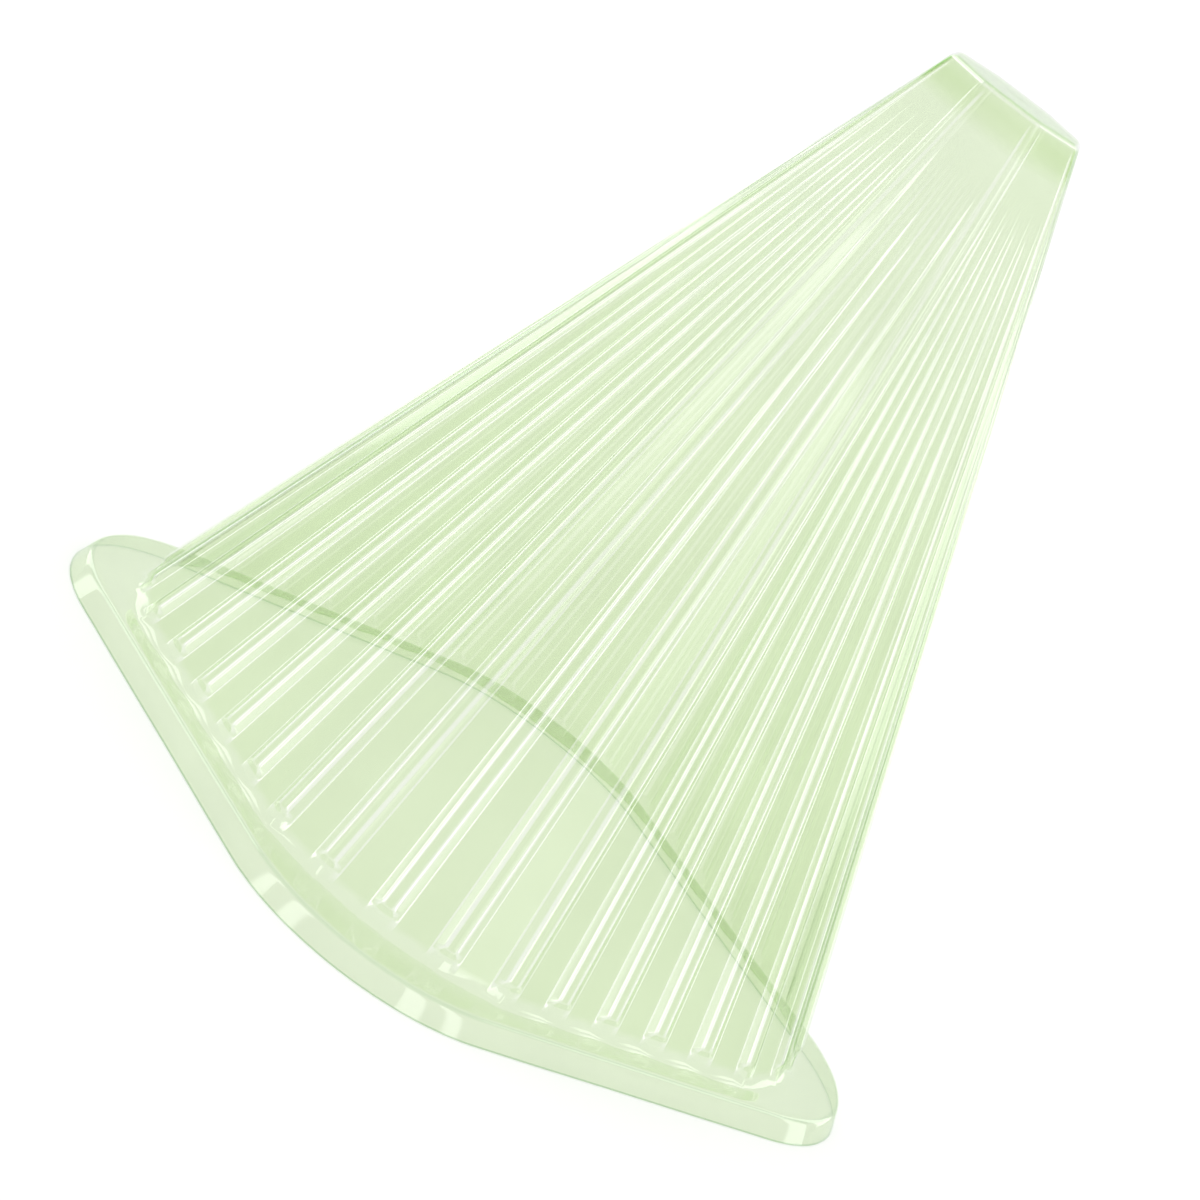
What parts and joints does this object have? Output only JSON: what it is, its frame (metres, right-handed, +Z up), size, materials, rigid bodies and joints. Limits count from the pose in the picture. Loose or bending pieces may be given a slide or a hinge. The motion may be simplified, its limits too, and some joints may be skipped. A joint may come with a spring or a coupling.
{
  "type": "garden cloche",
  "caption": "Tall ribbed see-through plant cover, closed at its narrow top and open below, with a flanged foot that stands on the soil.",
  "frame": {"origin": "middle of the rim plane that rests on the ground", "axes": "+Z up to the closed top; the four flat sides face along X and Y, and the corner panels face between them"},
  "size_m": [0.214, 0.214, 0.25],
  "materials": {
    "cover": "glossy, see-through pale green"
  },
  "bodies": {
    "root": {"cloche_cover": "cover"}
  },
  "joints": []
}
